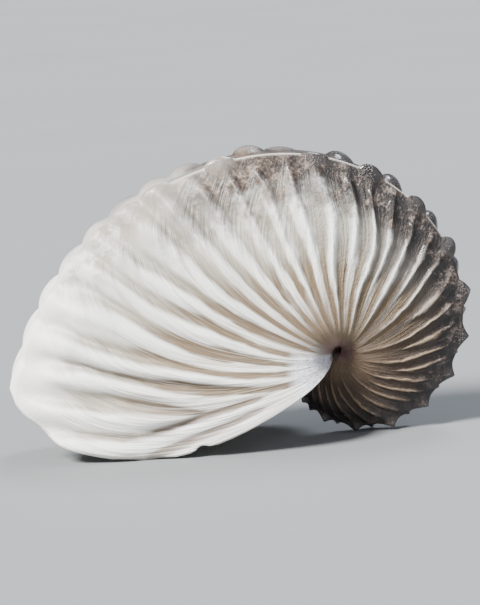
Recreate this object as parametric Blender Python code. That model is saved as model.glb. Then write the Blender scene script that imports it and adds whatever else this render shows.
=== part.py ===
"""Paper nautilus shell: the thin brood shell of an argonaut, grown as one piece.

The shell is a single sheet wound in one plane, as a logarithmic spiral about the Y axis. Each row
of the mesh is a growth line, a place where the mouth's edge once stood. A row is named by its
stage: the angle of its keel about the coil's axis, in degrees, which rises as the shell grows.
Ribs fan out from the axis and end in knobs on the keel's two edges. On the coil they run along
the growth lines; near the mouth the growth lines lean further and its edge cuts the ribs off.

Metres, +Z up. The shell stands on its mouth's edge and on the keel of its small early coil, with
the origin on the ground below the middle of its box.
"""

import math

import bmesh
import bpy
import numpy as np
from mathutils import Matrix, Vector

# Spiral
LIP_RADIUS = 0.056  # coil axis to keel at the mouth's edge
GROWTH = 0.311  # the keel's radius grows by this power of e for each radian
LIP_STAGE = 187.5
LIP_SIZE_STAGE = 185.0  # the stage at which the keel has the lip's radius
# Growth isn't quite even: (stage, size as a share of the spiral's)
EVENNESS = ((-250.0, 1.0), (95.0, 1.0), (132.0, 0.985), (160.0, 1.0), (190.0, 1.02))
FIRST_STAGE = -250.0
BUD_ANGLE = 40.0  # the first stretch of the coil, which rounds off to a closed tip
BUD_START = 0.30  # size of the tip's first row, as a share of a full one

# Section across the coil, as shares of the keel's radius
KEEL_HALF_WIDTH = 0.115
KEEL_HOLLOW = 0.02
KEEL_EDGE_RADIUS = 0.985  # the keel's edges between knobs
SIDE_HALF_WIDTH = 0.29
SIDE_BULGE = 1.6  # above 1, the side keeps its width further from the axis
SIDE_DROP = 0.9  # below 1, the side drops more steeply to the keel
NAVEL_REACH = 0.03  # where the side ends, beside the coil's axis
NAVEL_HALF_WIDTH = 0.26  # half width there at the mouth, as a share of the side's
NAVEL_NARROWING = 1.0  # the power of the shell's size by which that share falls
NAVEL_ROUNDING = 0.05
NAVEL_STAGES = (-205.0, 90.0)  # the first whorl's stages, whose inner ends a funnel closes
SLOPE_STEP = 0.005  # the reach over which the side's slope is taken
SIDE_REACHES = (0.03, 0.08, 0.16, 0.27, 0.4, 0.54, 0.68, 0.81, 0.91, 0.975)

# Wall
WALL = 0.0006
WALL_SHARE = 0.03  # thickest wall of the early coil, as a share of its keel's radius

# How far a rib's inner end runs ahead of its keel end, in degrees
LEAN_REACH = 0.3  # the reach at which the lean is given
LEAN_SLOPE = 0.21
LEAN_UPRIGHT_STAGE = 98.0
LEAN_LOWEST = -35.0
LEAN_CURVE = (1.2, 1.55)  # the last ribs bend more
LEAN_CURVE_STAGES = (165.0, 188.0)
BOW = -4.5  # ribs of the top bow back by this much half way out
BOW_STAGE = 88.0
BOW_STAGES_OVER = 16.0
BOW_REACHES = (0.3, 0.95)

# The same for the mouth's edge
LIP_LEAN = 32.0
LIP_LEAN_CURVE = 0.7
LIP_LEAN_FADE = 12.0  # growth lines turn from the ribs' way to the edge's over these stages

# Ribs
RIB_SPAN = 583.4  # the angle still to grow at the first-numbered rib, if growth never stopped
RIB_LIMIT = 629.9
RIB_CLOSING = 0.016  # each rib is this much nearer the last than the one before
CROWDED_RIB = -8.0  # around this rib of the coil, ribs come early
CROWDED_RIBS = 3.5
CROWDED_ANGLE = 3.0
RIB_NUMBERS = np.arange(-70.0, 90.0, 0.05)
RIB_HEIGHT = (0.24, 0.38)  # on the coil and near the mouth, as a share of the ribs' distance
RIB_CREST = (2.8, 0.6)  # narrow crests on the coil, broad folds near the mouth
RIB_STEEPER = (0.05, 0.12)  # how far the crest is moved towards the mouth, in ribs
CREST_STAGES = (90.0, 145.0)
RIB_GROWTH = 0.22  # the reach over which a rib rises to its full height
RIB_STARTS = (0.06, 0.36)  # reach at which long and short ribs begin
KEEL_CALM = 0.65  # ribs of the coil lose this share of their height beside the keel
KEEL_CALM_REACHES = (0.86, 0.95)
KEEL_CALM_STAGES = (120.0, 150.0)
KEEL_FADE = 0.85  # and ribs everywhere lose this share of it at the keel's edge itself
KEEL_FADE_REACHES = (0.88, 1.0)
LIP_CALM_STAGES = (LIP_STAGE - 10.0, LIP_STAGE - 2.0)
LIP_CALM_REACHES = (0.3, 0.5)  # the inner part of the mouth's edge is smooth
LIP_RIB_SHARE = 0.8  # of the ribs' height, on the outer part of the mouth's edge
RIB_LINE_STEPS = 16
ROWS_PER_RIB = 3

# Knobs: (stage, height as a share of the keel's radius)
KNOB_HEIGHTS = ((-60.0, 0.092), (20.0, 0.07), (90.0, 0.038), (140.0, 0.025), (185.0, 0.012))
LOW_KNOBS = {6: 0.3, 7: 0.45}  # ribs whose knobs are lower, and by what share
KNOBS_CHANGE_AFTER = 7
KNOBS_PAIR_AFTER = 10
KNOB_ROUNDING = (5.0, 45.0)  # stages between which teeth give way to domes
TOOTH_LENGTH = 0.72  # from its top to its foot along the keel, in ribs
TOOTH_POINT = 1.7  # above 1, a tooth's flanks are hollow
DOME_LENGTH = 0.48
DOME_CURVE = 0.8
KNOB_OUT = 0.95  # how far a knob stands out and sideways, as shares of its height
KNOB_SPREAD = 0.3

# Standing: the mouth's last ribs and the coil, without its last ribs, come down to the ground
MOUTH_RIBS = 3
COIL_LEAVES_OUT = 12
STANDING_TURN_LIMIT = math.radians(30.0)
HALVINGS = 40  # of that limit, to find the turn

SHELL_COLOUR = (0.86, 0.83, 0.77, 1.0)


def between(first, second, share):
    return first + (second - first) * share


def smooth_step(value, low, high):
    share = min(max((value - low) / (high - low), 0.0), 1.0)
    return share * share * (3.0 - 2.0 * share)


def keel_radius(stage):
    even = np.interp(stage, *zip(*EVENNESS))
    return even * LIP_RADIUS * math.exp(GROWTH * math.radians(stage - LIP_SIZE_STAGE))


def rib_stage(count):
    """The stage of a rib, or of a place between two ribs, by its number."""
    crowding = CROWDED_ANGLE * np.exp(-(((count - CROWDED_RIB) / CROWDED_RIBS) ** 2))
    return RIB_LIMIT - RIB_SPAN * np.exp(-RIB_CLOSING * count) + crowding


RIB_STAGES = rib_stage(RIB_NUMBERS)


def rib_number(stage):
    return float(np.interp(stage, RIB_STAGES, RIB_NUMBERS))


def rib_lean(stage, reach):
    """How far ahead of its keel end a rib is at this reach, in degrees."""
    steady = max(LEAN_SLOPE * (stage - LEAN_UPRIGHT_STAGE), LEAN_LOWEST)
    inward = (1.0 - reach) / (1.0 - LEAN_REACH)
    first, last = BOW_REACHES
    along = min(max((reach - first) / (last - first), 0.0), 1.0)
    bowing = math.exp(-(((stage - BOW_STAGE) / BOW_STAGES_OVER) ** 2))
    curve = between(*LEAN_CURVE, smooth_step(stage, *LEAN_CURVE_STAGES))
    return steady * inward**curve + BOW * math.sin(math.pi * along) ** 2 * bowing


def lean(stage, reach):
    """The same for a growth line, which near the mouth turns from the ribs' way to the edge's."""
    lip_lean = LIP_LEAN * (1.0 - reach**2) ** LIP_LEAN_CURVE
    last = math.exp((stage - LIP_STAGE) / LIP_LEAN_FADE)
    return between(rib_lean(stage, reach), lip_lean, last)


def rib_line_stage(angle, reach):
    """The stage of the rib that would pass through a place, found by closing in on it."""
    stage = angle
    for _ in range(RIB_LINE_STEPS):
        stage = angle - rib_lean(stage, reach)
    return stage


def half_width(stage, reach):
    """Half the shell's width at this reach, as a share of the keel's radius."""
    flank = (1.0 - reach**SIDE_BULGE) ** SIDE_DROP
    full = between(KEEL_HALF_WIDTH, SIDE_HALF_WIDTH, flank)
    navel = NAVEL_HALF_WIDTH * (LIP_RADIUS / keel_radius(stage)) ** NAVEL_NARROWING
    navel = min(navel, 1.0)
    turn_in = math.exp((NAVEL_REACH - reach) / NAVEL_ROUNDING)
    return full * (1.0 - (1.0 - navel) * turn_in)


def side_normal(stage, reach):
    """The side's outward direction in the section, as (outward from the axis, sideways)."""
    inner, outer = reach - SLOPE_STEP, min(reach + SLOPE_STEP, 1.0)
    slope = (half_width(stage, outer) - half_width(stage, inner)) / (outer - inner)
    return Vector((-slope, 1.0)).normalized()


def is_short_rib(number, side):
    """Long and short ribs take turns, the other way round on the other side."""
    return (number % 2 == 0) == (side > 0)


def rib_calm(row_stage, stage, reach):
    """The share of their height that ribs keep beside the coil's keel and the mouth's edge."""
    beside_keel = smooth_step(reach, *KEEL_CALM_REACHES)
    beside_keel *= 1.0 - smooth_step(stage, *KEEL_CALM_STAGES)
    faded = KEEL_FADE * smooth_step(reach, *KEEL_FADE_REACHES)
    beside_lip = smooth_step(row_stage, *LIP_CALM_STAGES)
    beside_lip *= 1.0 - LIP_RIB_SHARE * smooth_step(reach, *LIP_CALM_REACHES)
    return (1.0 - KEEL_CALM * beside_keel) * (1.0 - faded) * (1.0 - beside_lip)


def rib_height(row_stage, side, reach):
    """How far the sheet stands out at this place, in metres."""
    stage = rib_line_stage(row_stage + lean(row_stage, reach), reach)
    count = rib_number(stage)
    number = round(count)
    broad = smooth_step(stage, *CREST_STAGES)
    distance = count - number
    distance += between(*RIB_STEEPER, broad) * (1.0 - 4.0 * distance**2)
    crest = (0.5 + 0.5 * math.cos(2.0 * math.pi * distance)) ** between(*RIB_CREST, broad)
    start = RIB_STARTS[1] if is_short_rib(number, side) else RIB_STARTS[0]
    grown = smooth_step(reach, start, start + RIB_GROWTH)
    spacing = math.radians(RIB_CLOSING * (RIB_LIMIT - stage)) * reach * keel_radius(stage)
    calm = rib_calm(row_stage, stage, reach)
    return between(*RIB_HEIGHT, broad) * spacing * crest * grown * calm


def has_knob(number, side):
    """Knobs take turns along the two edges. The turns change over at one rib, and later every
    rib ends in a low swelling on both edges."""
    if number > KNOBS_PAIR_AFTER:
        return True
    near_turn = number % 2 == 0
    if number > KNOBS_CHANGE_AFTER:
        near_turn = not near_turn
    return near_turn == (side < 0)


def knob_share(number, count):
    """The height at this place of one rib's knob, as a share of the keel's radius."""
    stage = rib_stage(number)
    distance = abs(count - number)
    tooth = max(0.0, 1.0 - distance / TOOTH_LENGTH) ** TOOTH_POINT
    dome = max(0.0, 1.0 - (distance / DOME_LENGTH) ** 2) ** DOME_CURVE
    top = np.interp(stage, *zip(*KNOB_HEIGHTS)) * LOW_KNOBS.get(number, 1.0)
    return top * between(tooth, dome, smooth_step(stage, *KNOB_ROUNDING))


def knob_height(count, side):
    """How far the keel's edge stands out at this place, in metres."""
    nearest = math.floor(count)
    numbers = [number for number in (nearest, nearest + 1) if has_knob(number, side)]
    share = max((knob_share(number, count) for number in numbers), default=0.0)
    return share * keel_radius(rib_stage(count))


def place(stage, reach, out, sideways):
    """A point of the shell about the coil's axis: out and sideways are in metres."""
    angle = math.radians(stage + lean(stage, reach))
    return Vector((out * math.cos(angle), sideways, out * math.sin(angle)))


def side_point(count, side, reach):
    stage = rib_stage(count)
    radius = keel_radius(stage)
    normal = side_normal(stage, reach) * rib_height(stage, side, reach)
    out = reach * KEEL_EDGE_RADIUS * radius + normal.x
    return place(stage, reach, out, side * (half_width(stage, reach) * radius + normal.y))


def keel_edge_point(count, side):
    stage = rib_stage(count)
    radius = keel_radius(stage)
    knob = knob_height(count, side)
    sideways = KEEL_HALF_WIDTH * radius + KNOB_SPREAD * knob
    return place(stage, 1.0, KEEL_EDGE_RADIUS * radius + KNOB_OUT * knob, side * sideways)


def growth_line(count):
    """One row of points, from one side of the axis round the keel to the other."""
    near = [side_point(count, -1, reach) for reach in SIDE_REACHES]
    far = [side_point(count, 1, reach) for reach in reversed(SIDE_REACHES)]
    stage = rib_stage(count)
    middle = place(stage, 1.0, keel_radius(stage) * (1.0 - KEEL_HOLLOW), 0.0)
    row = [*near, keel_edge_point(count, -1), middle, keel_edge_point(count, 1), *far]
    return round_off(row, stage)


def round_off(row, stage):
    """Rows of the bud are drawn in towards the middle of the section, as a dome closes."""
    missing = (FIRST_STAGE + BUD_ANGLE - stage) / BUD_ANGLE
    if missing <= 0.0:
        return row
    share = math.sqrt(1.0 - (1.0 - BUD_START**2) * missing**2)
    centre = place(stage, 0.5, 0.5 * keel_radius(stage), 0.0)
    return [centre.lerp(point, share) for point in row]


def row_counts():
    """The rib number of each row, from the coil's tip to the mouth's edge."""
    first, last = rib_number(FIRST_STAGE), rib_number(LIP_STAGE)
    start, end = round(first * ROWS_PER_RIB), math.ceil(last * ROWS_PER_RIB)
    return [row / ROWS_PER_RIB for row in range(start, end)] + [last]


def wall_share(count):
    """The early coil's wall is thinner, in step with its size."""
    return min(1.0, WALL_SHARE * keel_radius(rib_stage(count)) / WALL)


def close_tip(made, row):
    """A fan over the open end of the bud's first row."""
    tip = made.verts.new(sum((vertex.co for vertex in row), Vector()) / len(row))
    ring = [*row, row[0]]
    for here, after in zip(ring, ring[1:]):
        made.faces.new((tip, after, here))
    return tip


def close_navel(made, ends):
    """A shallow funnel from the coil's axis to the inner ends of the first whorl."""
    middle = made.verts.new((0.0, ends[len(ends) // 2].co.y, 0.0))
    for older, newer in zip(ends, ends[1:]):
        made.faces.new((middle, older, newer))
    return middle


def standing_turn(mouth, coil):
    """The turn about the coil's axis that brings the mouth and the coil down to one level."""
    low, high = 0.0, STANDING_TURN_LIMIT
    for _ in range(HALVINGS):
        middle = (low + high) / 2.0
        turn = Matrix.Rotation(middle, 3, "Y")
        if min((turn @ v.co).z for v in coil) > min((turn @ v.co).z for v in mouth):
            low = middle
        else:
            high = middle
    return Matrix.Rotation(low, 4, "Y")


def stand_up(made, mouth, coil):
    """Turns the sheet to stand on the ground, with the origin below the middle of its box."""
    bmesh.ops.transform(made, matrix=standing_turn(mouth, coil), verts=made.verts)
    lowest = Vector(min(v.co[axis] for v in made.verts) for axis in range(3))
    highest = Vector(max(v.co[axis] for v in made.verts) for axis in range(3))
    middle = (lowest + highest) / 2.0
    bmesh.ops.translate(made, vec=(-middle.x, -middle.y, -lowest.z), verts=made.verts)


def sheet_mesh():
    """The shell's outer surface: growth lines joined, with the tip and the navels closed."""
    made = bmesh.new()
    weights = made.verts.layers.deform.verify()
    counts = row_counts()
    grid = []
    for count in counts:
        row = [made.verts.new(point) for point in growth_line(count)]
        for vertex in row:
            vertex[weights][0] = wall_share(count)
        grid.append(row)
    for older, newer in zip(grid, grid[1:]):
        for i in range(len(older) - 1):
            made.faces.new((older[i], older[i + 1], newer[i + 1], newer[i]))
    middles = [close_tip(made, grid[0])]
    first, last = (rib_number(stage) for stage in NAVEL_STAGES)
    for column in (0, -1):
        ends = [row[column] for row, count in zip(grid, counts) if first < count < last]
        middles.append(close_navel(made, ends))
    for vertex in middles:
        vertex[weights][0] = wall_share(counts[0])
    bmesh.ops.recalc_face_normals(made, faces=made.faces)
    mouth = [vertex for row in grid[-MOUTH_RIBS * ROWS_PER_RIB :] for vertex in row]
    coil = [vertex for row in grid[: -COIL_LEAVES_OUT * ROWS_PER_RIB] for vertex in row]
    stand_up(made, mouth, coil)
    mesh = bpy.data.meshes.new("shell")
    made.to_mesh(mesh)
    made.free()
    return mesh


def shell_material():
    material = bpy.data.materials.new("shell")
    material.use_nodes = True
    surface = material.node_tree.nodes["Principled BSDF"]
    surface.inputs["Base Color"].default_value = SHELL_COLOUR
    surface.inputs["Roughness"].default_value = 0.45
    return material


def build_shell():
    shell = bpy.data.objects.new("shell", sheet_mesh())
    bpy.context.scene.collection.objects.link(shell)
    shell.vertex_groups.new(name="wall")
    shell.data.materials.append(shell_material())
    wall = shell.modifiers.new("Wall", "SOLIDIFY")
    wall.thickness = WALL
    wall.offset = -1.0
    wall.vertex_group = "wall"
    shell.data.shade_smooth()
    return shell


def rest_on_ground(shell):
    """Lifts the shell by the little that the wall's inner face reaches below the sheet."""
    solid = shell.evaluated_get(bpy.context.evaluated_depsgraph_get())
    shell.location.z = -min(vertex.co.z for vertex in solid.data.vertices)


def main():
    for leftover in list(bpy.data.objects):
        bpy.data.objects.remove(leftover)
    rest_on_ground(build_shell())


main()
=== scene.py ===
import math

import bpy
import numpy as np
from mathutils import Matrix, Vector


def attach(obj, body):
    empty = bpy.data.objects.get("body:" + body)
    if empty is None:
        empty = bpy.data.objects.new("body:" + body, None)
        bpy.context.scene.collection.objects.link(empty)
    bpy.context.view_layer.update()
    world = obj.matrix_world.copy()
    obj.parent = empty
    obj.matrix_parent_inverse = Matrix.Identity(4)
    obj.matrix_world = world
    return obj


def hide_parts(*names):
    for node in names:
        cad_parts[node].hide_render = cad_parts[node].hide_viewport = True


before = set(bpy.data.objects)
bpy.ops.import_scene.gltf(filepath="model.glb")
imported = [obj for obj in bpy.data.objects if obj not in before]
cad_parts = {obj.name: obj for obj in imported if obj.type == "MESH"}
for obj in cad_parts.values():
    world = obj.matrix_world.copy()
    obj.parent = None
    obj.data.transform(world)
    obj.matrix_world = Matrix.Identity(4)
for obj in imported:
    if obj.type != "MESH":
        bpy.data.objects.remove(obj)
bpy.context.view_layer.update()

# The shell is a sheet wound as a logarithmic spiral about the Y axis. It is named by two numbers:
# the stage, the angle in degrees of the keel where a growth line ends, and the reach, the share
# of the way from the axis (0) to the keel (1). Ribs are numbered; "count" is a number that also
# names the places between ribs.

# Spiral and section, in metres and shares of the keel's radius
LIP_RADIUS = 0.056  # coil axis to keel at the mouth's edge
GROWTH = 0.311  # the keel's radius grows by this power of e for each radian
LIP_STAGE = 187.5
LIP_SIZE_STAGE = 185.0  # the stage at which the keel has the lip's radius
# Growth isn't even: (stage, size as a share of the spiral's)
EVENNESS = ((-250.0, 1.0), (95.0, 1.0), (132.0, 0.985), (160.0, 1.0), (190.0, 1.02))
FIRST_STAGE = -250.0
BUD_ANGLE = 40.0  # the first stretch of the coil, which rounds off to a closed tip
KEEL_HALF_WIDTH = 0.115
KEEL_HOLLOW = 0.02
KEEL_EDGE_RADIUS = 0.985  # the keel's edges between knobs
SIDE_HALF_WIDTH = 0.29
SIDE_BULGE = 1.6  # above 1, the side keeps its width further from the axis
SIDE_DROP = 0.9  # below 1, the side drops more steeply to the keel
NAVEL_REACH = 0.03  # where the side ends, beside the coil's axis
NAVEL_HALF_WIDTH = 0.26  # at the mouth, as a share of the flank's; it falls as the shell grows
NAVEL_NARROWING = 1.0  # the power of the shell's size by which that share falls
NAVEL_ROUNDING = 0.05
NAVEL_STAGES = (-205.0, 90.0)  # the first whorl's stages, whose inner ends run to the axis
WALL = 0.0005
WALL_SHARE = 0.03  # thickest wall of the early coil, as a share of its keel's radius

# Growth lines: how far a line's inner end runs ahead of its keel end, in degrees
LEAN_REACH = 0.3  # the reach at which the lean is given
LEAN_SLOPE = 0.21
LEAN_UPRIGHT_STAGE = 98.0
LEAN_LOWEST = -35.0
LEAN_CURVE = (1.2, 1.55)  # the last ribs bend more
LEAN_CURVE_STAGES = (165.0, 188.0)
LIP_LEAN = 32.0  # of the mouth's edge, at the axis
LIP_LEAN_FADE = 12.0  # rows turn from the ribs' way to the edge's over these stages
LIP_LEAN_CURVE = 0.7
BOW = -4.5  # ribs of the top bow back by this much half way out
BOW_STAGES = (88.0, 16.0)  # where they bow most, and over how far
BOW_REACHES = (0.3, 0.95)

# Ribs
RIB_SPAN = 583.4  # the angle still to grow at rib 0, if growth never stopped
RIB_LIMIT = 629.9  # the stage that the ribs would then close in on
RIB_CLOSING = 0.016  # each rib is this much nearer the last than the one before
RIB_CROWDING = (-8.0, 3.5, 3.0)  # where on the coil ribs come early, over how many, by how much
RIB_NUMBERS = np.arange(-70.0, 90.0, 0.05)
RIB_HEIGHT = (0.24, 0.38)  # on the coil and near the mouth, as a share of the ribs' spacing
RIB_GROWTH = 0.22  # the reach over which a rib rises to its full height
RIB_STARTS = (0.06, 0.36)  # reach at which long and short ribs begin
RIB_CREST = (4.8, 0.6)  # narrow crests on the coil, broad folds near the mouth
RIB_STEEPER = (0.05, 0.12)  # how far each crest is moved back towards the coil, in ribs
CREST_STAGES = (98.0, 150.0)
RIB_SWAY = (0.07, 0.13)  # how far ribs stray, in ribs, on the coil and near the mouth
RIB_WOBBLE = 0.055  # the same, for small kinks
SWAY_RATES = (0.35, 3.0, 2.2)  # how fast that changes from rib to rib, side to side and outwards
WOBBLE_RATES = (1.3, 5.0, 6.0)
OWN_STEP = 0.618  # from one rib's own differences to the next one's
START_SPREAD = 0.05
START_SIDE_STEP = 0.4
STRENGTH_SPREAD = 0.16
STRENGTH_SHIFT = 7.0
STRENGTH_OUTWARD = 0.8
KEEL_CALM = 0.65  # ribs of the coil lose this share of their height beside the keel
KEEL_CALM_REACHES = (0.86, 0.95)
KEEL_CALM_STAGES = (120.0, 150.0)
KEEL_FADE = 0.85  # all ribs lose this share of their height at the keel's edge
KEEL_FADE_REACHES = (0.88, 1.0)
LIP_CALM_STAGES = (LIP_STAGE - 10.0, LIP_STAGE - 2.0)
LIP_CALM_REACHES = (0.3, 0.5)  # the inner part of the mouth's edge is smooth
LIP_RIB_SHARE = 0.8  # of the ribs' height, on the outer part of the mouth's edge
# The furrows' painted shade and tint move with them, towards the folds' shaded side
TROUGH_SHIFT = 0.06  # how far the broad folds' furrows are moved towards the mouth, in ribs
TROUGH_NARROWING = 1.6
TROUGH_REACHES = (0.05, 0.2)
SWAY_SEED, OWN_SEED, WOBBLE_SEED = 11, 23, 31
LIP_FOLDS = (203.5, 210.0)  # angles of two short furrows near the lower part of the mouth's edge
LIP_FOLD_WIDTH = 1.5
LIP_FOLD_DEPTH = 0.0005
LIP_FOLD_REACHES = (0.24, 0.34, 0.6, 0.75)
LIP_FOLD_MARGIN = 4.0
LIP_FOLD_TURN = 6.0  # degrees that a furrow turns back on its way out
LIP_FOLD_REACH = 0.4  # where it lies at the angle given above
LIP_FOLD_FAR_SHIFT = 2.0  # the furrows of the +Y side are this many degrees further on

# Knobs along the keel's edges
# (stage, height as a share of the keel's radius)
KNOB_HEIGHTS = ((-60.0, 0.092), (20.0, 0.07), (90.0, 0.038), (140.0, 0.025), (185.0, 0.012))
LOW_KNOBS = {6: 0.3, 7: 0.45}  # ribs with lower knobs, and the share of the height they keep
KNOB_SIZES = (0.9, 1.1)
KNOBS_CHANGE_AFTER = 7
KNOBS_PAIR_AFTER = 10
KNOB_ROUNDING = (5.0, 45.0)  # stages between which teeth give way to domes
TOOTH_LENGTH = 0.72  # from its top to its foot along the keel, in ribs
TOOTH_POINT = 1.7  # above 1, a tooth's flanks are hollow
DOME_LENGTH = 0.48
DOME_CURVE = 0.8
KNOB_DOWN = 0.07  # from a knob's top to its foot on the side, in reach
KNOB_ACROSS = 0.085  # the same on the keel, as a share of the keel's radius
OTHER_SIDE = 10.0  # further than any knob reaches
KNOB_OUT = 0.95  # how far a knob stands out and sideways, as shares of its height
KNOB_SPREAD = 0.3
KNOB_SEED = 5

# Mesh
HIDDEN_STAGE = -125.0  # older rows lie inside the mouth and are further apart
ROWS_PER_RIB = 14
HIDDEN_ROWS_PER_RIB = 5
KEEL_STEPS = 20
SIDE_KNOTS = ((0.0, 0.03), (0.17, 0.16), (0.69, 0.86), (1.0, 1.0))
SIDE_STEPS = 31
MERGE = 1e-5  # metres
RIB_LINE_STEPS = 16  # rounds of closing in on a rib's line
SLOPE_STEP = 0.005  # the reach over which the side's slope is taken

# Marks for the finishes
GROWTH_LINE_STAGES = (95.0, 140.0)  # where the fine lines turn to run beside the mouth's edge
KEEL_MARK = 0.1  # the reach marked on the keel's middle is this much over 1

# Chips in the mouth's edge on the -Y side: (reach, half their width in reach, depth in degrees)
CHIPS = ((0.5, 0.024, 1.6), (0.62, 0.03, 0.4), (0.71, 0.025, 0.5), (0.8, 0.03, 0.35))
CHIP_COLUMNS = (-0.9, -0.55, -0.25, 0.0, 0.25, 0.55, 0.9)
CHIP_STAGES = 1.4  # the growth lines over which a chip deepens to its full depth
CHIP_CURVE = 0.7

# Standing: the shell rests on its mouth and its coil
MOUTH_RIBS = 3.0  # the mouth is this many last ribs
COIL_LEAVES_OUT = 12.0  # and the coil is all but this many
STANDING_TURN_LIMIT = math.radians(30.0)
HALVINGS = 40  # of that limit, to find the turn


def smooth_step(value, low, high):
    share = np.clip((value - low) / (high - low), 0.0, 1.0)
    return share * share * (3.0 - 2.0 * share)


def blend(first, second, share):
    return first + (second - first) * share


def keel_radius(stage):
    even = np.interp(stage, *zip(*EVENNESS))
    return even * LIP_RADIUS * np.exp(GROWTH * np.radians(stage - LIP_SIZE_STAGE))


def rib_stage(count):
    middle, over, early = RIB_CROWDING
    crowding = early * np.exp(-(((count - middle) / over) ** 2))
    return RIB_LIMIT - RIB_SPAN * np.exp(-RIB_CLOSING * count) + crowding


def rib_number(stage):
    return np.interp(stage, rib_stage(RIB_NUMBERS), RIB_NUMBERS)


def rib_spacing(stage):
    """The angle from one rib to the next, where they aren't crowded, in radians."""
    return np.radians(RIB_CLOSING * (RIB_LIMIT - stage))


def rib_lean(stage, reach):
    """How far ahead of its keel end a rib is at this reach, in degrees."""
    steady = np.maximum(LEAN_SLOPE * (stage - LEAN_UPRIGHT_STAGE), LEAN_LOWEST)
    inward = np.maximum(1.0 - reach, 0.0) / (1.0 - LEAN_REACH)
    along = np.clip((reach - BOW_REACHES[0]) / (BOW_REACHES[1] - BOW_REACHES[0]), 0.0, 1.0)
    middle, over = BOW_STAGES
    bow = BOW * np.sin(np.pi * along) ** 2 * np.exp(-(((stage - middle) / over) ** 2))
    curve = blend(*LEAN_CURVE, smooth_step(stage, *LEAN_CURVE_STAGES))
    return steady * inward**curve + bow


def lip_lean(reach):
    """The same for the mouth's edge, which the fine growth lines run beside everywhere."""
    return LIP_LEAN * np.maximum(1.0 - reach**2, 0.0) ** LIP_LEAN_CURVE


def lean(stage, reach):
    """The same for the mesh's rows, which turn from the ribs' way to the mouth edge's way."""
    last = np.exp((stage - LIP_STAGE) / LIP_LEAN_FADE)
    return blend(rib_lean(stage, reach), lip_lean(reach), last)


def chipped(stage, side, reach):
    """How far the mouth's edge is set back where it's chipped, in degrees."""
    back = 0.0
    for place, half, depth in CHIPS:
        share = np.clip(1.0 - ((reach - place) / half) ** 2, 0.0, 1.0)
        back = back + depth * share**CHIP_CURVE
    near_edge = smooth_step(stage, LIP_STAGE - CHIP_STAGES, LIP_STAGE)
    return back * near_edge * (side < 0.0)


def rib_line_stage(angle, reach):
    """The stage of the rib that would pass through a place, found by closing in on it."""
    stage = angle
    for _ in range(RIB_LINE_STEPS):
        stage = angle - rib_lean(stage, reach)
    return stage


def half_width(stage, reach):
    """Half the shell's width at this reach, as a share of the keel's radius."""
    flank = np.maximum(1.0 - reach**SIDE_BULGE, 0.0) ** SIDE_DROP
    full = KEEL_HALF_WIDTH + (SIDE_HALF_WIDTH - KEEL_HALF_WIDTH) * flank
    turn_in = np.exp((NAVEL_REACH - reach) / NAVEL_ROUNDING)
    navel = NAVEL_HALF_WIDTH * (LIP_RADIUS / keel_radius(stage)) ** NAVEL_NARROWING
    navel = np.minimum(navel, 1.0)
    return full * (1.0 - (1.0 - navel) * turn_in)


class Waves:
    """Smooth, repeatable unevenness: a sum of sine waves of random direction and phase."""

    def __init__(self, seed, terms=9):
        random = np.random.default_rng(seed)
        self.turns = random.uniform(0.0, 2.0 * math.pi, terms)
        self.phases = random.uniform(0.0, 2.0 * math.pi, terms)
        self.lengths = random.uniform(0.5, 1.6, terms)

    def at(self, x, y):
        total = 0.0
        for turn, phase, length in zip(self.turns, self.phases, self.lengths):
            along = x * math.cos(turn) + y * math.sin(turn)
            total = total + np.sin(along * 2.0 * math.pi * length + phase)
        return total / math.sqrt(len(self.turns))

    def over(self, rates, count, side, reach):
        """The unevenness over the ribs, which changes at these rates."""
        by_rib, by_side, outward = rates
        return self.at(count * by_rib + by_side * side, reach * outward)


def row_counts():
    """The rib numbers of the mesh's rows, from the coil's tip to the mouth's edge."""
    first, last = rib_number(FIRST_STAGE), rib_number(LIP_STAGE)
    hidden = rib_number(HIDDEN_STAGE)
    inner = np.arange(first, hidden, 1.0 / HIDDEN_ROWS_PER_RIB)
    outer = np.linspace(hidden, last, round((last - hidden) * ROWS_PER_RIB) + 1)
    return np.concatenate([inner, outer])


def section():
    """The mesh's columns: (side, reach, across), where across runs from -1 to 1 over the keel."""
    shares = np.linspace(0.0, 1.0, SIDE_STEPS + 1)
    reaches = np.interp(shares, *zip(*SIDE_KNOTS))
    place, half, _ = CHIPS[0]
    around = place + half * np.array(CHIP_COLUMNS)
    reaches = np.sort(np.concatenate([reaches[np.abs(reaches - place) > half], around]))
    across = np.linspace(-1.0, 1.0, KEEL_STEPS + 1)[1:-1]
    near = reaches
    far = reaches[::-1]
    reach = np.concatenate([near, np.ones(len(across)), far])
    flat = np.concatenate([-np.ones(len(near)), across, np.ones(len(far))])
    side = np.where(flat > 0.0, 1.0, -1.0)
    return side, reach, flat


def lip_folds(angle, side, reach):
    """(where short folds fan out to the mouth's edge in place of ribs, their furrows)."""
    ends = LIP_FOLD_REACHES
    along = smooth_step(reach, ends[0], ends[1]) * (1.0 - smooth_step(reach, ends[2], ends[3]))
    folded = along * smooth_step(angle, LIP_FOLDS[0] - LIP_FOLD_MARGIN, LIP_FOLDS[0])
    turned = angle + LIP_FOLD_TURN * (reach - LIP_FOLD_REACH) - LIP_FOLD_FAR_SHIFT * (side > 0.0)
    furrows = [np.exp(-(((turned - fold) / LIP_FOLD_WIDTH) ** 2)) for fold in LIP_FOLDS]
    return folded, folded * np.minimum(sum(furrows), 1.0)


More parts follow.
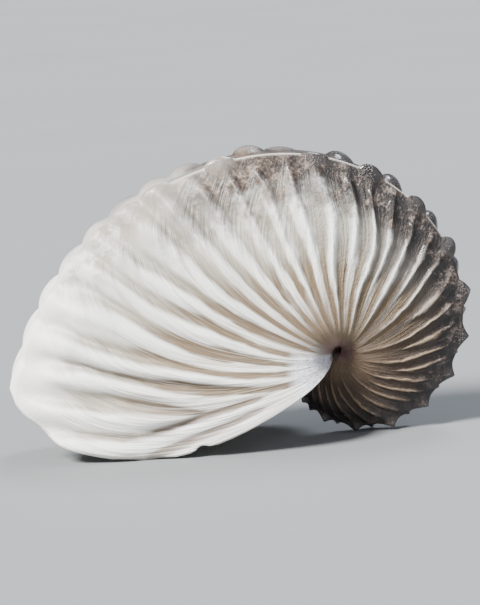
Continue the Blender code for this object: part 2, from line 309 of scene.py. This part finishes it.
def rib_relief(row_stage, angle, stage, side, reach):
    """(height in metres, crest mask, trough mask) of the ribs over the mesh. The trough mask
    places the furrows' tint and their painted shade.
    """
    count = rib_number(stage)
    uneven = Waves(SWAY_SEED)
    own = Waves(OWN_SEED)
    kinks = Waves(WOBBLE_SEED)
    broad = smooth_step(stage, *CREST_STAGES)
    sway = blend(*RIB_SWAY, broad) * uneven.over(SWAY_RATES, count, side, reach)
    wobble = RIB_WOBBLE * kinks.over(WOBBLE_RATES, count, side, reach)
    moved = count + sway + wobble
    number = np.round(moved)
    distance = moved - number
    distance = distance + blend(*RIB_STEEPER, broad) * (1.0 - 4.0 * distance**2)
    crest = (0.5 + 0.5 * np.cos(2.0 * np.pi * distance)) ** blend(*RIB_CREST, broad)
    short = (np.mod(number, 2.0) == 0.0) == (side > 0.0)
    start = np.where(short, RIB_STARTS[1], RIB_STARTS[0])
    start = start + START_SPREAD * own.at(number * OWN_STEP, side * START_SIDE_STEP)
    grown = smooth_step(reach, start, start + RIB_GROWTH)
    step = own.at(number * OWN_STEP + STRENGTH_SHIFT, reach * STRENGTH_OUTWARD + side)
    strength = 1.0 + STRENGTH_SPREAD * step
    height = blend(*RIB_HEIGHT, broad) * rib_spacing(stage) * reach * keel_radius(stage) * strength
    margin = smooth_step(row_stage, *LIP_CALM_STAGES)
    calm = 1.0 - margin * (1.0 - LIP_RIB_SHARE * smooth_step(reach, *LIP_CALM_REACHES))
    coil = 1.0 - smooth_step(stage, *KEEL_CALM_STAGES)
    beside_keel = 1.0 - KEEL_CALM * smooth_step(reach, *KEEL_CALM_REACHES) * coil
    beside_keel = beside_keel * (1.0 - KEEL_FADE * smooth_step(reach, *KEEL_FADE_REACHES))
    folded, furrow = lip_folds(angle, side, reach)
    relief = height * crest * grown * calm * beside_keel * (1.0 - folded)
    relief = relief - furrow * LIP_FOLD_DEPTH
    # Trough mask: where the furrows get their tint and painted shade, shifted to the broad folds'
    # shaded side
    valley = 0.5 - 0.5 * np.cos(2.0 * np.pi * (distance - TROUGH_SHIFT * broad))
    trough = valley**TROUGH_NARROWING * smooth_step(reach, *TROUGH_REACHES) * calm
    trough = np.maximum(trough * (1.0 - folded), furrow)
    crest = crest * (1.0 - folded) + folded * (1.0 - furrow)
    return relief, crest * grown, trough * np.ones_like(grown)


def has_knob(number, edge):
    """Knobs take turns along the two edges. The turns change over at one rib, and later every
    rib ends in a low swelling on both edges."""
    if number > KNOBS_PAIR_AFTER:
        return True
    near_turn = number % 2 == 0
    if number > KNOBS_CHANGE_AFTER:
        near_turn = not near_turn
    return near_turn == (edge < 0.0)


def knob_field(count, side, reach, across):
    """(height in metres, share of full height) of the keel's knobs, side by side."""
    stage = rib_stage(count)
    radius = keel_radius(stage)
    height = np.zeros(np.broadcast(count, reach).shape)
    share = np.zeros_like(height)
    first, last = rib_number(FIRST_STAGE), rib_number(LIP_STAGE)
    sizes = np.random.default_rng(KNOB_SEED)
    knobs = [
        (number, edge)
        for number in range(math.ceil(first) + 1, math.floor(last) + 1)
        for edge in (-1.0, 1.0)
        if has_knob(number, edge)
    ]
    for number, edge in knobs:
        at = rib_stage(number)
        round_top = smooth_step(at, *KNOB_ROUNDING)
        size = sizes.uniform(*KNOB_SIZES) * LOW_KNOBS.get(number, 1.0)
        top = np.interp(at, *zip(*KNOB_HEIGHTS)) * size
        along = np.radians(stage - at) / rib_spacing(at)
        on_keel = KEEL_HALF_WIDTH * np.abs(across - edge)
        down = (1.0 - reach) + OTHER_SIDE * (side != edge)
        away = np.where(reach < 1.0, down / KNOB_DOWN, on_keel / KNOB_ACROSS)
        length = blend(TOOTH_LENGTH, DOME_LENGTH, round_top)
        distance = np.sqrt((along / length) ** 2 + away**2)
        tooth = np.maximum(0.0, 1.0 - distance) ** TOOTH_POINT
        dome = np.maximum(0.0, 1.0 - distance**2) ** DOME_CURVE
        peak = blend(tooth, dome, round_top)
        height = np.maximum(height, top * radius * peak)
        share = np.maximum(share, peak * np.ones_like(height))
    return height, share


def side_normal(stage, reach):
    """The side's outward direction as (out from the axis, along the axis)."""
    inner, outer = reach - SLOPE_STEP, np.minimum(reach + SLOPE_STEP, 1.0)
    slope = (half_width(stage, outer) - half_width(stage, inner)) / (outer - inner)
    length = np.hypot(slope, 1.0)
    return -slope / length, 1.0 / length


def shell_points():
    """The sheet as a grid of points, and the marks that its finishes read there."""
    count = row_counts()[:, None]
    side, reach, across = (column[None, :] for column in section())
    stage = rib_stage(count)
    radius = keel_radius(stage)

    angle = np.radians(stage + lean(stage, reach) - chipped(stage, side, reach))
    rib_stages = rib_line_stage(np.degrees(angle), reach)
    relief, crest, trough = rib_relief(stage, np.degrees(angle), rib_stages, side, reach)
    knob, knob_share = knob_field(count, side, reach, across)

    normal_out, normal_side = side_normal(stage, reach)
    keel = reach >= 1.0
    lift = np.where(keel, 0.0, relief)

    bulge = 1.0 - across**2
    keel_out = KEEL_EDGE_RADIUS + (1.0 - KEEL_HOLLOW - KEEL_EDGE_RADIUS) * bulge
    out = np.where(keel, keel_out, reach * KEEL_EDGE_RADIUS) * radius
    wide = np.where(keel, KEEL_HALF_WIDTH * np.abs(across), half_width(stage, reach)) * radius
    out = out + lift * normal_out + knob * KNOB_OUT
    wide = wide + lift * normal_side + knob * KNOB_SPREAD * np.abs(across)

    x = out * np.cos(angle)
    z = out * np.sin(angle)
    y = np.sign(across) * wide * np.ones_like(x)
    points = np.stack([x, y, z], axis=-1)
    points = round_off(points, stage)
    points = close_navel(points, stage)

    beside_lip = np.degrees(angle) - lip_lean(reach)
    growth = blend(stage, beside_lip, smooth_step(stage, *GROWTH_LINE_STAGES))
    edge = np.where(np.isclose(reach, 1.0) & np.isclose(np.abs(across), 1.0), 1.0, 0.0)
    ones = np.ones_like(x)
    marks = {
        "stage": stage * ones,
        "reach": np.where(keel, 1.0 + KEEL_MARK * bulge, reach) * ones,
        "growth": growth * ones,
        "crest": np.where(keel, 0.0, crest) * ones,
        "trough": np.where(keel, 0.0, trough) * ones,
        "knob": knob_share * ones,
        "edge": edge * ones,
        "across": across * ones,
    }
    # A column more at each side, as close_navel adds
    marks = {name: np.pad(mark, ((0, 0), (1, 1)), mode="edge") for name, mark in marks.items()}
    return points, marks


def round_off(points, stage):
    """The first rows are drawn in to a point, as a dome closes."""
    missing = np.clip((FIRST_STAGE + BUD_ANGLE - stage) / BUD_ANGLE, 0.0, 1.0)
    share = np.sqrt(1.0 - missing**2)[..., None]
    angle = np.radians(stage + lean(stage, 0.5))
    out = 0.5 * keel_radius(stage)
    centre = np.stack([out * np.cos(angle), 0.0 * out, out * np.sin(angle)], axis=-1)
    return centre + (points - centre) * share


def close_navel(points, stage):
    """Adds a column at each end, which runs to the axis on the first whorl and closes it."""
    ends = []
    closing = (stage[:, 0] > NAVEL_STAGES[0]) & (stage[:, 0] < NAVEL_STAGES[1])
    for column in (0, -1):
        end = points[:, column].copy()
        end[closing] = (0.0, np.median(end[closing][:, 1]), 0.0)
        ends.append(end[:, None])
    return np.concatenate([ends[0], points, ends[1]], axis=1)


def standing_turn(points, count):
    """The turn about Y that brings the mouth and the coil down to one level."""
    last = rib_number(LIP_STAGE)
    mouth = points[count > last - MOUTH_RIBS].reshape(-1, 3)
    coil = points[count < last - COIL_LEAVES_OUT].reshape(-1, 3)
    low, high = 0.0, STANDING_TURN_LIMIT
    for _ in range(HALVINGS):
        middle = (low + high) / 2.0
        down = np.array([-math.sin(middle), 0.0, math.cos(middle)])
        if (coil @ down).min() > (mouth @ down).min():
            low = middle
        else:
            high = middle
    return low


def stood_up(points, count):
    """The points turned to stand on the floor, with the middle of their box over the origin."""
    turn = standing_turn(points, count)
    across = np.array([math.cos(turn), 0.0, math.sin(turn)])
    up = np.array([-math.sin(turn), 0.0, math.cos(turn)])
    turned = np.stack([points @ across, points[..., 1], points @ up], axis=-1)
    low, high = turned.reshape(-1, 3).min(0), turned.reshape(-1, 3).max(0)
    middle = (low + high) / 2.0
    return turned - np.array([middle[0], middle[1], low[2]])


def only_select(piece):
    bpy.ops.object.select_all(action="DESELECT")
    piece.select_set(True)
    bpy.context.view_layer.objects.active = piece


def make_shell():
    """A grid wound into the shell and closed at its tip and navels."""
    points, marks = shell_points()
    points = stood_up(points, row_counts())
    rows, columns = points.shape[:2]
    bpy.ops.object.select_all(action="DESELECT")
    bpy.ops.mesh.primitive_grid_add(
        x_subdivisions=columns - 1, y_subdivisions=rows - 1, size=1.0, calc_uvs=True
    )
    shell = bpy.context.active_object
    shell.name = "shell_sheet"
    mesh = shell.data
    mesh.name = "shell_sheet"
    mesh.vertices.foreach_set("co", points.reshape(-1).astype(np.float32))
    for name, mark in marks.items():
        layer = mesh.attributes.new(name, "FLOAT", "POINT")
        layer.data.foreach_set("value", mark.reshape(-1).astype(np.float32))
    wall = np.minimum(1.0, WALL_SHARE * keel_radius(marks["stage"]) / WALL).reshape(-1)
    group = shell.vertex_groups.new(name="wall")
    for index, weight in enumerate(wall):
        group.add([index], float(weight), "REPLACE")
    only_select(shell)
    bpy.ops.object.mode_set(mode="EDIT")
    bpy.ops.mesh.select_all(action="SELECT")
    bpy.ops.mesh.remove_doubles(threshold=MERGE)
    bpy.ops.mesh.normals_make_consistent(inside=False)
    bpy.ops.object.mode_set(mode="OBJECT")
    return shell


def add_wall(shell):
    """The sheet thickened inwards and set down on the floor."""
    only_select(shell)
    wall = shell.modifiers.new("Wall", "SOLIDIFY")
    wall.thickness = WALL
    wall.offset = -1.0
    wall.vertex_group = "wall"
    wall.material_offset = 1
    wall.material_offset_rim = 0
    bpy.ops.object.modifier_apply(modifier=wall.name)
    shell.vertex_groups.clear()
    bpy.ops.object.shade_smooth()
    lowest = min(vertex.co.z for vertex in shell.data.vertices)
    shell.data.transform(Matrix.Translation((0.0, 0.0, -lowest)))


class Number:
    """A number that varies over the surface. Python's operators add Math nodes for it."""

    def __init__(self, graph, socket):
        self.graph = graph
        self.socket = socket

    def _math(self, operation, *values):
        node = self.graph.add("ShaderNodeMath", {"operation": operation}, dict(enumerate(values)))
        return Number(self.graph, node.outputs[0])

    def __add__(self, other):
        return self._math("ADD", self, other)

    def __radd__(self, other):
        return self._math("ADD", other, self)

    def __sub__(self, other):
        return self._math("SUBTRACT", self, other)

    def __rsub__(self, other):
        return self._math("SUBTRACT", other, self)

    def __mul__(self, other):
        return self._math("MULTIPLY", self, other)

    def __rmul__(self, other):
        return self._math("MULTIPLY", other, self)

    def __pow__(self, other):
        return self._math("POWER", self, other)

    def larger(self, other):
        return self._math("MAXIMUM", self, other)

    def smaller(self, other):
        return self._math("MINIMUM", self, other)

    def frayed(self, noise, amount):
        """The number pushed up and down by a noise, which makes what it bounds ragged."""
        return self + (noise - 0.5) * amount

    def rise(self, low, high):
        """0 below low, 1 above high, and smooth between. low may be the larger of the two."""
        ends = {"Value": self, "From Min": min(low, high), "From Max": max(low, high)}
        node = self.graph.add("ShaderNodeMapRange", {"interpolation_type": "SMOOTHSTEP"}, ends)
        risen = Number(self.graph, node.outputs["Result"])
        return risen if low < high else 1.0 - risen


class Graph:
    """A material's nodes."""

    def __init__(self, name):
        self.material = bpy.data.materials.new(name)
        self.material.use_nodes = True
        self.tree = self.material.node_tree
        self.surface = self.tree.nodes["Principled BSDF"]

    def add(self, kind, settings=None, sockets=None):
        """A node of this type, with its settings made first and then its sockets filled."""
        node = self.tree.nodes.new(kind)
        for name, value in (settings or {}).items():
            setattr(node, name, value)
        for name, value in (sockets or {}).items():
            self.fill(node.inputs[name], value)
        return node

    def fill(self, socket, value):
        if isinstance(value, Number):
            self.tree.links.new(value.socket, socket)
        elif isinstance(value, bpy.types.NodeSocket):
            self.tree.links.new(value, socket)
        else:
            socket.default_value = value

    def mark(self, name):
        node = self.add("ShaderNodeAttribute", {"attribute_name": name})
        return Number(self, node.outputs["Fac"])

    def place(self):
        return self.add("ShaderNodeTexCoord").outputs["Object"]

    def vector(self, x, y, z):
        return self.add("ShaderNodeCombineXYZ", None, {"X": x, "Y": y, "Z": z}).outputs[0]

    def noise(self, vector, scale, detail, roughness=0.5, distortion=0.0):
        sockets = {"Vector": vector, "Scale": scale, "Detail": detail}
        sockets.update({"Roughness": roughness, "Distortion": distortion})
        return Number(self, self.add("ShaderNodeTexNoise", None, sockets).outputs[0])

    def colours(self, first, second, share):
        """The first colour turning into the second as share goes from 0 to 1."""
        node = self.add("ShaderNodeMix", {"data_type": "RGBA"}, {"Factor": share})
        self.fill(node.inputs[6], first)
        self.fill(node.inputs[7], second)
        return node.outputs[2]

    def bump(self, height, distance, strength):
        sockets = {"Height": height, "Distance": distance, "Strength": strength}
        return self.add("ShaderNodeBump", None, sockets).outputs[0]

    def finish(self, **sockets):
        for name, value in sockets.items():
            self.fill(self.surface.inputs[name.replace("_", " ")], value)
        return self.material


def rgb(red, green, blue):
    return (red, green, blue, 1.0)


# The outside's colours
WHITE_SIDE = rgb(0.86, 0.845, 0.78)
BROWN_COIL = rgb(0.066, 0.041, 0.025)
# Furrow colours: partly the furrows' own tint, partly painted shade in the furrows
GREY_FURROW_TINT_AND_SHADE = rgb(0.36, 0.34, 0.28)
AMBER_FURROW_TINT_AND_SHADE = rgb(0.155, 0.10, 0.045)
BROWN_FURROW_TINT_AND_SHADE = rgb(0.14, 0.09, 0.046)
BROWN_HAZE = rgb(0.06, 0.045, 0.038)
WHITE_CREST = rgb(0.93, 0.93, 0.90)
FALLOW_CREST = rgb(0.30, 0.22, 0.14)
DULL_CREST = rgb(0.19, 0.135, 0.085)
RUST = rgb(0.36, 0.28, 0.19)
GROWTH_LINE = rgb(0.38, 0.33, 0.25)
SILK_SHINE = rgb(0.93, 0.93, 0.91)
TAN_MIDDLE = rgb(0.20, 0.135, 0.08)
LILAC_BORDER = rgb(0.42, 0.39, 0.395)
COIL_BAND = (rgb(0.005, 0.003, 0.002), rgb(0.04, 0.025, 0.02))
LATE_BAND = (rgb(0.025, 0.017, 0.013), rgb(0.13, 0.092, 0.067))
FLECK = rgb(0.42, 0.33, 0.28)
GREY_KEEL = rgb(0.17, 0.14, 0.12)
# The keel edge: partly its own pale colour, partly a painted highlight
PALE_RIM_AND_HIGHLIGHT = rgb(0.75, 0.70, 0.62)
STAIN = rgb(0.20, 0.14, 0.085)
DARK_DOME = rgb(0.012, 0.008, 0.007)
SMOKY_DOME = rgb(0.27, 0.23, 0.205)
# A painted glint on the teeth's tips
PAINTED_GLINT_TIP = rgb(0.42, 0.40, 0.42)
PURPLE_PIT = rgb(0.32, 0.20, 0.18)
WHITE_CALLUS = rgb(0.93, 0.92, 0.97)
WRINKLE = rgb(0.30, 0.28, 0.38)
PIT_SEAM = rgb(0.30, 0.17, 0.155)

# How often the noises change: for each metre, but the silk's for each degree and each reach
PATCH_SCALE = 95.0
SPECK_SCALE = 430.0
GRAIN_SCALE = 2300.0
WRINKLE_SCALE = 1500.0
SILK_SCALE = (0.5, 2.2)
FINE_SILK_SCALE = (2.2, 3.5)

LINE_STAGES = (85.0, 125.0)  # where the fine growth lines come into sight
LINE_REACHES = (0.92, 0.72)  # and where they fade out beside the keel
GRAIN_HEIGHT = 0.0004  # metres
COAT_ROUGHNESS = 0.08


class Outside:
    """The marks and noises that the parts of the outside's finish share."""

    def __init__(self, graph):
        self.graph = graph
        self.stage = graph.mark("stage")
        self.reach = graph.mark("reach")
        self.crest = graph.mark("crest")
        self.trough = graph.mark("trough")
        self.knob = graph.mark("knob")
        self.edge = graph.mark("edge")
        self.place = graph.place()
        self.patches = graph.noise(self.place, PATCH_SCALE, 4.0, 0.6)
        self.specks = graph.noise(self.place, SPECK_SCALE, 5.0, 0.7)
        self.grains = graph.noise(self.place, GRAIN_SCALE, 3.0, 0.7)
        self.silk = self.lines(*SILK_SCALE)
        self.fine_silk = self.lines(*FINE_SILK_SCALE)
        self.depth = self.reach.frayed(self.patches, 0.5).frayed(self.silk, 0.5)

    def lines(self, along, outward):
        """A noise drawn out along the growth lines."""
        growth, across = self.graph.mark("growth"), self.graph.mark("across")
        place = self.graph.vector(growth * along, self.reach * outward, across)
        return self.graph.noise(place, 1.0, 3.0, 0.6)


def side_ground(face):
    """The sides, from the brown coil to the white last half whorl, with grey and tan furrows that
    are partly their own tint and partly painted shade.
    """
    graph, stage, reach, patches = face.graph, face.stage, face.reach, face.patches
    young = (stage.frayed(patches, 50.0) + reach * 30.0).rise(130.0, 40.0)
    ground = graph.colours(WHITE_SIDE, BROWN_COIL, young)
    # Grey in the furrows: partly their tint, partly painted shade
    furrow = face.trough.rise(0.2, 0.85) * reach.rise(0.99, 0.8) * (0.35 + 0.9 * patches)
    furrow = furrow * stage.rise(60.0, 100.0)
    ground = graph.colours(ground, GREY_FURROW_TINT_AND_SHADE, furrow.smaller(0.85))
    # Tan in the furrows: partly their colour, partly painted shade on the folds' shaded side
    tan_and_shade = (face.depth - stage.rise(130.0, 175.0) * 0.2).rise(0.8, 0.28) * stage.rise(10.0, 50.0)
    tan_and_shade = tan_and_shade * face.trough.rise(0.05, 0.6) * (0.7 + 0.8 * patches) * stage.rise(191.0, 184.0)
    amber_and_shade = graph.colours(AMBER_FURROW_TINT_AND_SHADE, BROWN_FURROW_TINT_AND_SHADE, stage.rise(100.0, 150.0))
    ground = graph.colours(ground, amber_and_shade, tan_and_shade.smaller(0.93))
    haze = reach.frayed(patches, 0.6).rise(0.35, 0.85) * (stage + reach * 25.0).rise(142.0, 85.0)
    return graph.colours(ground, BROWN_HAZE, haze * 0.93)


def crest_light(face):
    """Where the ribs are light: thin, frayed crests on the coil and broad ones near the mouth."""
    stage, specks = face.stage, face.specks
    narrow = face.crest.frayed(specks, 0.5).frayed(face.grains, 0.6).rise(0.3, 0.7)
    broad = stage.rise(115.0, 150.0)
    light = narrow * (1.0 - broad) + face.crest.rise(0.3, 1.0) * broad
    light = light * face.reach.frayed(specks, 0.3).frayed(face.patches, 0.4).rise(0.92, 0.75)
    return light * (1.0 - face.depth.rise(0.42, 0.12) * (stage.rise(165.0, 125.0) * 0.5 + 0.4))


def crest_colour(face):
    graph, stage = face.graph, face.stage
    fallow = graph.colours(WHITE_CREST, FALLOW_CREST, stage.rise(95.0, 15.0))
    pale = graph.colours(fallow, DULL_CREST, stage.rise(15.0, -45.0))
    return graph.colours(pale, RUST, face.grains.rise(0.5, 0.75) * stage.rise(120.0, 40.0) * 0.5)


def with_growth_lines(face, skin):
    """Fine silky lines over the folds."""
    lines = face.silk.frayed(face.fine_silk, 0.4)
    seen = face.stage.rise(*LINE_STAGES)
    streaks = lines.rise(0.5, 0.66) * seen * face.reach.rise(*LINE_REACHES)
    skin = face.graph.colours(skin, GROWTH_LINE, streaks * (0.15 + 0.65 * face.patches))
    shine = lines.rise(0.46, 0.36) * seen * (1.0 - face.trough * 0.8)
    shine = shine * face.reach.rise(*LINE_REACHES)
    return face.graph.colours(skin, SILK_SHINE, shine * 0.6)


def with_tan_middle(face, skin, light):
    """Tan around the axis, and a lilac tinge along the mouth's edge."""
    graph, stage, reach, patches = face.graph, face.stage, face.reach, face.patches
    middle = reach.frayed(patches, 0.4).rise(0.44, 0.13) * stage.rise(168.0, 130.0)
    skin = graph.colours(skin, TAN_MIDDLE, middle * (0.96 - 0.3 * light))
    border = stage.frayed(patches, 12.0).rise(176.0, 188.0) * reach.rise(0.8, 0.4)
    return graph.colours(skin, LILAC_BORDER, border * 0.4)


def band_cover(face):
    """Where the dark band runs beside the keel, ragged on its inner edge."""
    inner_edge = face.reach.frayed(face.patches, 0.45).frayed(face.specks, 0.35)
    return inner_edge.rise(0.66, 0.88) * face.stage.frayed(face.patches, 80.0).rise(174.0, 120.0)


def fleck_cover(face, band):
    """Where the band's dark skin has flaked off."""
    flecks = face.specks.frayed(face.grains, 0.6).rise(0.5, 0.72) * band
    flecks = flecks * face.stage.rise(-80.0, 40.0)
    flecks = flecks * face.reach.rise(1.0, 0.97) * face.reach.rise(0.7, 0.85)
    return flecks * face.knob.rise(0.7, 0.3)


def with_band(face, skin, band, flecks):
    """The dark band, browner in its last part, with its flecks and the keel's tint beyond it."""
    graph, stage, reach, patches = face.graph, face.stage, face.reach, face.patches
    specks = face.specks
    black = graph.colours(*COIL_BAND, specks.rise(0.35, 0.7))
    brown = graph.colours(*LATE_BAND, specks.rise(0.4, 0.65))
    dark = graph.colours(black, brown, stage.frayed(patches, 40.0).rise(85.0, 120.0))
    skin = graph.colours(skin, dark, band)
    skin = graph.colours(skin, FLECK, flecks * 0.65)
    keel = reach.rise(0.985, 1.0) * stage.frayed(patches, 40.0).rise(180.0, 130.0)
    return graph.colours(skin, GREY_KEEL, keel * (1.0 - band) * 0.85)


def with_keel_edge(face, skin, band):
    """The keel's pale edge with a painted highlight along it, brown stains beside it, the colours
    of the knobs, and painted glints on the coil's teeth.
    """
    graph, stage, reach, knob = face.graph, face.stage, face.reach, face.knob
    # The keel's edge line: partly its own pale colour, partly a painted highlight
    rim_and_highlight = face.edge**2.0 * knob.rise(0.3, 0.0) * stage.rise(40.0, 60.0)
    skin = graph.colours(skin, PALE_RIM_AND_HIGHLIGHT, rim_and_highlight * 0.85)
    stains = face.patches.frayed(face.specks, 0.6).rise(0.48, 0.6) * reach.rise(0.84, 0.94)
    stains = stains * reach.rise(1.02, 1.0) * stage.rise(182.0, 150.0)
    skin = graph.colours(skin, STAIN, stains * (1.0 - band) * 0.75)
    dark = knob.rise(0.1, 0.7) * stage.rise(15.0, 40.0) * stage.rise(125.0, 100.0)
    skin = graph.colours(skin, DARK_DOME, dark * (1.0 - rim_and_highlight) * 0.8)
    smoky = knob.rise(0.1, 0.8) * stage.rise(95.0, 115.0) * stage.rise(172.0, 135.0)
    skin = graph.colours(skin, SMOKY_DOME, smoky * (1.0 - rim_and_highlight) * 0.6)
    # Painted glints on the tips of the coil's teeth
    glint_on_tip = knob.rise(0.75, 1.0) * (0.3 + face.specks)
    return graph.colours(skin, PAINTED_GLINT_TIP, glint_on_tip * stage.rise(50.0, 15.0) * 0.65)


def with_navel(face, skin, callus, wrinkles):
    """The purple-brown pit, and the white callus where the mouth's edge meets it."""
    graph, stage, reach = face.graph, face.stage, face.reach
    pit = reach.frayed(face.patches, 0.05).rise(0.12, 0.05) * stage.rise(168.0, 150.0)
    skin = graph.colours(skin, PURPLE_PIT, pit * 0.9)
    skin = graph.colours(skin, WHITE_CALLUS, callus)
    skin = graph.colours(skin, WRINKLE, callus * wrinkles.rise(0.52, 0.64) * 0.7)
    seam = reach.rise(0.045, 0.035) * stage.rise(150.0, 110.0)
    return graph.colours(skin, PIT_SEAM, seam)


def outside_finish():
    face = Outside(Graph("shell_outside"))
    graph, stage, reach = face.graph, face.stage, face.reach
    light = crest_light(face)
    band = band_cover(face)
    flecks = fleck_cover(face, band)
    callus = reach.frayed(face.patches, 0.1).rise(0.21, 0.15) * stage.rise(152.0, 162.0)
    wrinkles = graph.noise(face.place, WRINKLE_SCALE, 2.0, 0.6, 2.0)

    skin = graph.colours(side_ground(face), crest_colour(face), light * 0.92)
    skin = with_growth_lines(face, skin)
    skin = with_tan_middle(face, skin, light)
    skin = with_band(face, skin, band, flecks)
    skin = with_keel_edge(face, skin, band)
    skin = with_navel(face, skin, callus, wrinkles)

    silk_height = (face.silk * 1.9 + face.fine_silk * 0.4) * (reach.rise(0.98, 0.8) * 0.8 + 0.2)
    grain_height = face.grains * (stage.rise(130.0, 70.0) * 0.8 + 0.2)
    height = silk_height + grain_height + callus * wrinkles * 0.8
    glassy = face.knob.rise(0.2, 0.5) * stage.rise(150.0, 110.0)
    gloss = (band * (1.0 - flecks) * (1.0 - face.crest * 0.9) * 0.45).larger(glassy)
    return graph.finish(
        Base_Color=skin,
        Roughness=(0.44 - gloss * 0.2).frayed(face.grains, 0.15),
        Coat_Weight=gloss * 0.8,
        Coat_Roughness=COAT_ROUGHNESS,
        Normal=graph.bump(height, GRAIN_HEIGHT, 0.9),
    )


# The inside's colours
INSIDE_WHITE = rgb(0.80, 0.77, 0.70)
INSIDE_CREAM = rgb(0.66, 0.60, 0.48)
INSIDE_COIL = rgb(0.34, 0.26, 0.19)
INSIDE_KEEL = rgb(0.16, 0.12, 0.10)
INSIDE_CREST = rgb(0.84, 0.82, 0.77)
INSIDE_PATCH_SCALE = 90.0
INSIDE_SILK_SCALE = (1.1, 2.0)
INSIDE_SILK_HEIGHT = 0.00012


def inside_finish():
    graph = Graph("shell_inside")
    stage = graph.mark("stage")
    reach = graph.mark("reach")
    along, outward = INSIDE_SILK_SCALE
    drawn_out = graph.vector(graph.mark("growth") * along, reach * outward, 0.0)
    silk = graph.noise(drawn_out, 1.0, 4.0, 0.6)
    patches = graph.noise(graph.place(), INSIDE_PATCH_SCALE, 4.0, 0.6)
    white = graph.colours(INSIDE_WHITE, INSIDE_CREAM, patches * 0.6)
    young = stage.rise(120.0, 10.0) * (0.5 + 0.5 * patches)
    skin = graph.colours(white, INSIDE_COIL, young)
    keel = reach.rise(0.84, 0.96) * stage.rise(158.0, 100.0) * 0.75
    skin = graph.colours(skin, INSIDE_KEEL, keel)
    skin = graph.colours(skin, INSIDE_CREST, graph.mark("crest") * 0.25)
    return graph.finish(
        Base_Color=skin,
        Roughness=0.32 + patches * 0.1,
        Normal=graph.bump(silk, INSIDE_SILK_HEIGHT, 0.6),
    )


FLOOR_SIZE = 60.0
FLOOR_GREYS = (rgb(0.19, 0.198, 0.206), rgb(0.215, 0.222, 0.228))
FIBRE_SCALE = 900.0
CLOUD_SCALE = 6.0
FIBRE_HEIGHT = 0.0001


def floor_finish():
    graph = Graph("floor_paper")
    place = graph.place()
    fibres = graph.noise(place, FIBRE_SCALE, 4.0, 0.6)
    clouds = graph.noise(place, CLOUD_SCALE, 2.0)
    return graph.finish(
        Base_Color=graph.colours(*FLOOR_GREYS, clouds),
        Roughness=0.75 + fibres * 0.15,
        Normal=graph.bump(fibres, FIBRE_HEIGHT, 0.3),
    )


def make_floor():
    bpy.ops.object.select_all(action="DESELECT")
    bpy.ops.mesh.primitive_plane_add(size=FLOOR_SIZE, location=(0.0, 0.0, 0.0))
    floor = bpy.context.active_object
    floor.name = "floor"
    floor.data.materials.append(floor_finish())


def add_sun(name, toward, strength, softness, colour):
    """A distant, soft lamp, which lights the floor evenly."""
    lamp = bpy.data.lights.new(name, "SUN")
    lamp.energy = strength
    lamp.angle = math.radians(softness)
    lamp.color = colour
    holder = bpy.data.objects.new(name, lamp)
    bpy.context.scene.collection.objects.link(holder)
    facing = Vector(toward).to_track_quat("Z", "Y").to_matrix().to_4x4()
    holder.matrix_world = facing


SKY_COLOUR = rgb(0.86, 0.9, 1.0)
SKY_STRENGTH = 0.4
# (name, direction towards it, strength, softness in degrees, colour)
SUNS = (
    ("key", (-0.66, -0.52, 0.80), 13.0, 18.0, (1.0, 0.99, 0.968)),
    ("fill", (0.7, -0.6, 0.45), 0.9, 60.0, (0.9, 0.94, 1.0)),
    ("back", (0.25, 0.45, 0.85), 2.2, 20.0, (0.86, 0.92, 1.0)),
)


def light_scene():
    world = bpy.data.worlds.new("studio")
    world.use_nodes = True
    sky = world.node_tree.nodes["Background"]
    sky.inputs["Color"].default_value = SKY_COLOUR
    sky.inputs["Strength"].default_value = SKY_STRENGTH
    bpy.context.scene.world = world
    for name, toward, strength, softness, colour in SUNS:
        add_sun(name, toward, strength, softness, colour)


CAMERA_AZIMUTH = -3.0  # degrees from the -Y side, to the shell's mouth
CAMERA_ELEVATION = 8.1
CAMERA_ROLL = -3.9
CAMERA_DISTANCE = 0.48
CAMERA_AIM = (0.0004, 0.0, 0.0242)
CAMERA_LENS = 164.4
CAMERA_NEAREST = 0.01


def add_camera():
    azimuth, elevation = math.radians(CAMERA_AZIMUTH), math.radians(CAMERA_ELEVATION)
    away = Vector(
        (
            math.sin(azimuth) * math.cos(elevation),
            -math.cos(azimuth) * math.cos(elevation),
            math.sin(elevation),
        )
    )
    camera = bpy.data.objects.new("camera", bpy.data.cameras.new("camera"))
    camera.data.lens = CAMERA_LENS
    camera.data.clip_start = CAMERA_NEAREST
    bpy.context.scene.collection.objects.link(camera)
    aim = Vector(CAMERA_AIM)
    facing = (-away).to_track_quat("-Z", "Y").to_matrix().to_4x4()
    roll = Matrix.Rotation(math.radians(CAMERA_ROLL), 4, "Z")
    camera.matrix_world = Matrix.Translation(aim + away * CAMERA_DISTANCE) @ facing @ roll
    bpy.context.scene.camera = camera


add_camera()
light_scene()
make_floor()
shell = make_shell()
shell.data.materials.append(outside_finish())
shell.data.materials.append(inside_finish())
add_wall(shell)
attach(shell, "root")
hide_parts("shell")
